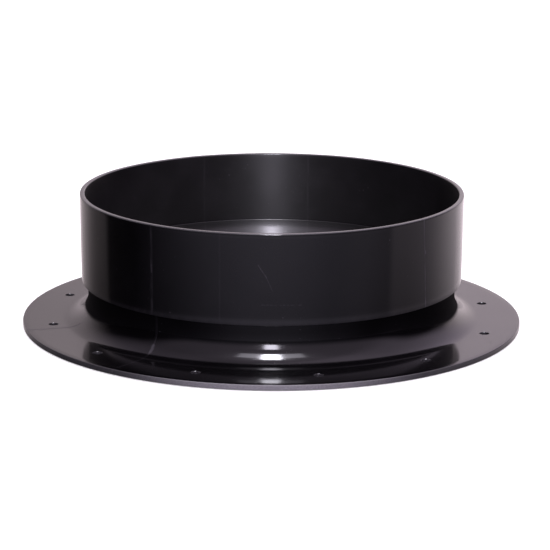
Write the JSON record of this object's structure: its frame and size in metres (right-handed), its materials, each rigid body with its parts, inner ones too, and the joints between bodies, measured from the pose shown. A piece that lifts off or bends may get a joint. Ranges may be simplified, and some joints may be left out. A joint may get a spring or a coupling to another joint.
{
  "type": "toilet chute flange",
  "caption": "Round black plastic flange with a short wide collar, drilled around its rim to be screwed to a floor or ceiling around a toilet's drop chute.",
  "frame": {"origin": "centre of the flange's underside, on the bore's axis, where the flange rests on a floor or panel", "axes": "+Z along the bore's axis, from the flange's underside up through the collar; -Y is the side seen in the picture"},
  "size_m": [0.4254, 0.4254, 0.1131],
  "materials": {
    "flange_plastic": "black formed ABS sheet, semi-gloss, with fine scuffs and a drawn sheen over the fillet",
    "sleeve_plastic": "black ABS pipe, semi-gloss, with faint lengthwise extrusion lines and handling scratches",
    "cement": "black solvent cement, glossy where a small bead shows below the sleeve"
  },
  "bodies": {
    "root": {"flange_with_neck": "flange_plastic", "collar_sleeve": "sleeve_plastic", "lap_cement": "cement"}
  },
  "joints": []
}
